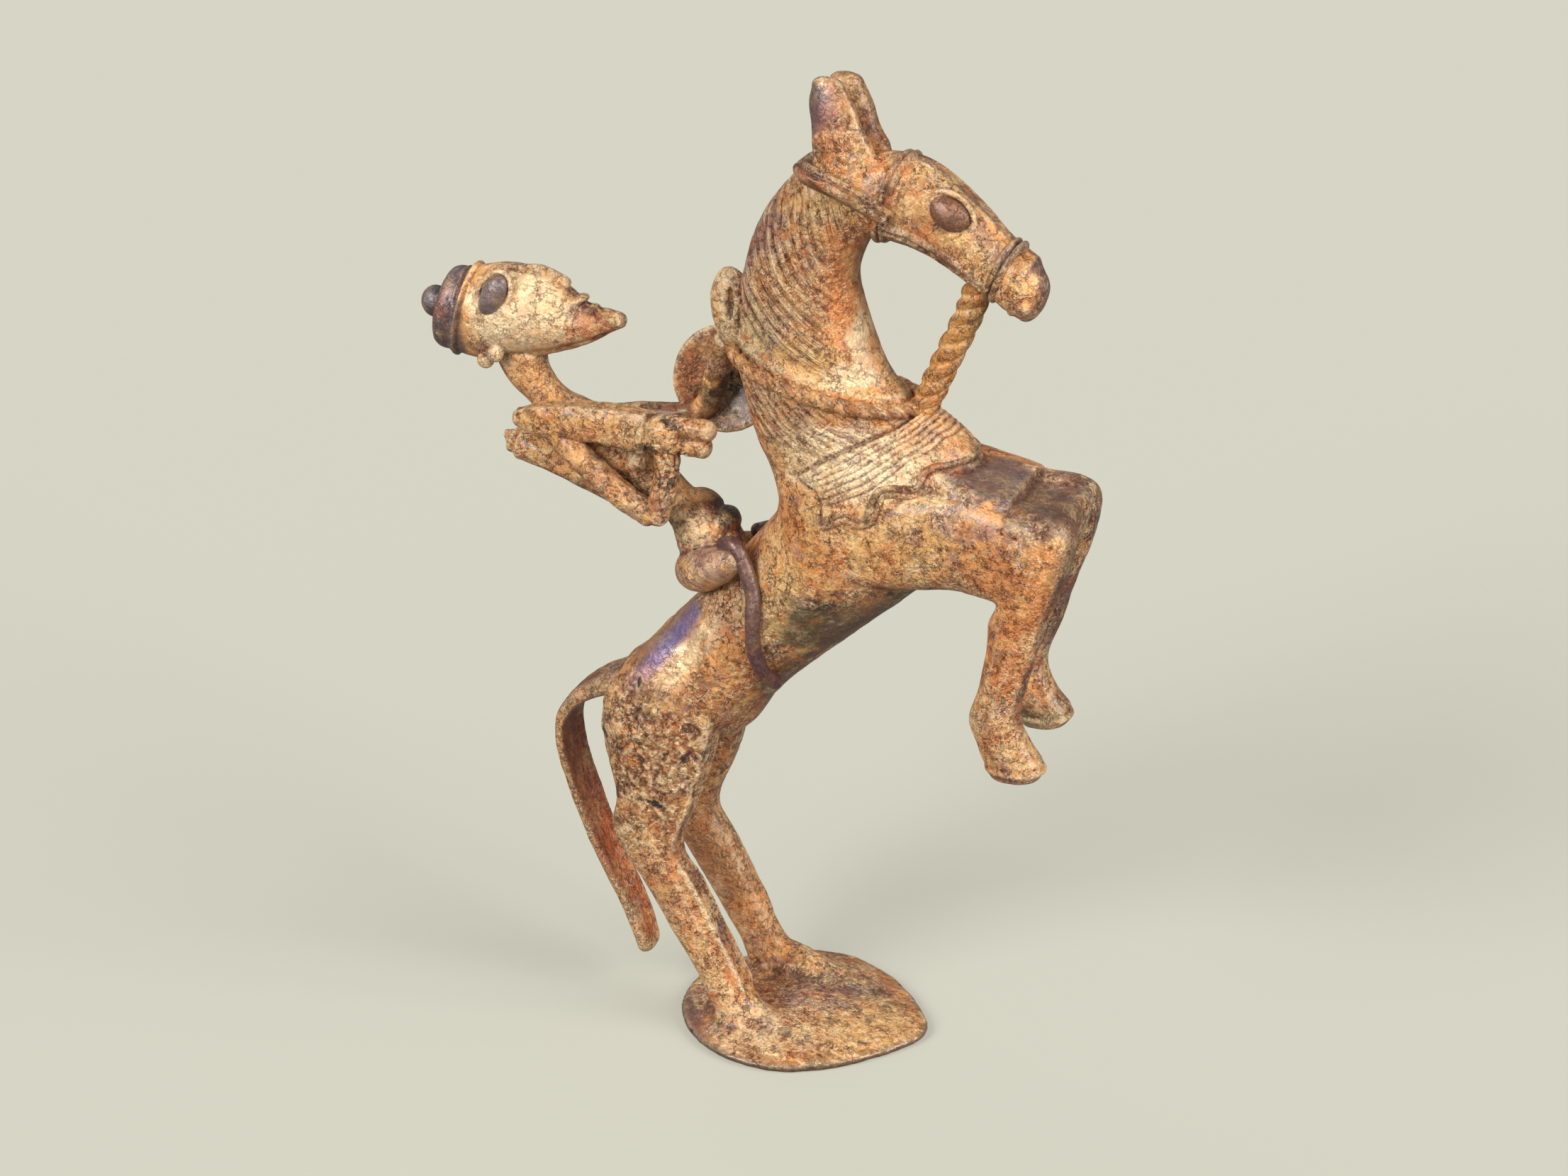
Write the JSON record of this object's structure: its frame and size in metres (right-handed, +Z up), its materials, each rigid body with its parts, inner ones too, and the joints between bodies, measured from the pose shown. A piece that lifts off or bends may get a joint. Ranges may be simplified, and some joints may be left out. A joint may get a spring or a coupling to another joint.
{
  "type": "equestrian statuette",
  "caption": "Small cast copper-alloy statuette of a rearing horse with a rider leaning far back, standing on a domed, leaf-shaped foot plate.",
  "frame": {"origin": "on the flat underside of the foot plate, where its long middle line crosses its widest line", "axes": "+Z up, +X the way the horse faces, +Y to the left of the horse and rider"},
  "size_m": [0.1487, 0.051, 0.218],
  "materials": {
    "patinated_brass": "satin metal worn to red-brown on the high spots, with ochre and cream crust and black in the recesses"
  },
  "bodies": {
    "root": {"rearing_horse_and_rider": "patinated_brass"}
  },
  "joints": []
}
